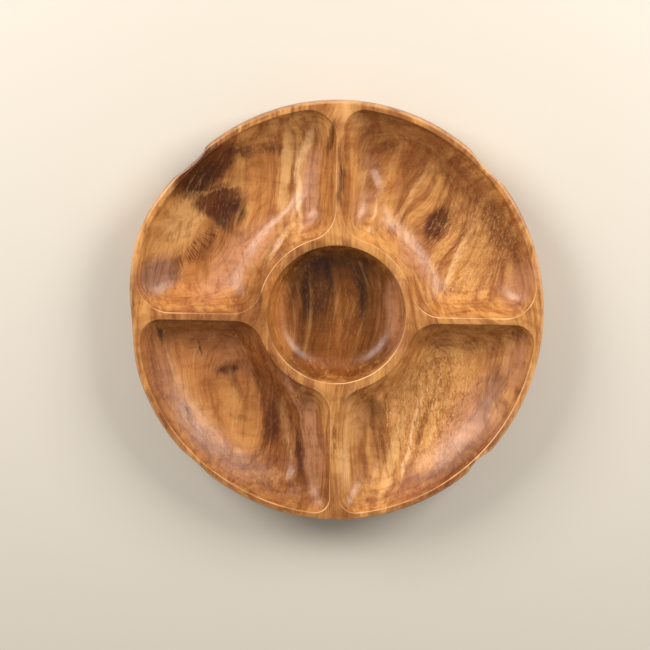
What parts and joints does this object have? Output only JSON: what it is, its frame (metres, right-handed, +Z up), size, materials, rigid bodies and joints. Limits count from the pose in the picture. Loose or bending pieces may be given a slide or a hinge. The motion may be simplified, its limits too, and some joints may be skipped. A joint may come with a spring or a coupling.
{
  "type": "chip and dip server",
  "caption": "Round carved hardwood platter with a central dip bowl ringed by quarter-circle chip compartments, parted by thin ribs, with finger grips scooped into its outer wall.",
  "frame": {"origin": "middle of the flat base, on the surface that the platter stands on", "axes": "+Z up, out of the compartments; +Y along the grain, the platter's top as it is displayed; +X to the right"},
  "size_m": [0.356, 0.356, 0.044],
  "materials": {
    "carved_wood": "satin lacquer over figured acacia-type hardwood"
  },
  "bodies": {
    "root": {"carved_tray": "carved_wood"}
  },
  "joints": []
}
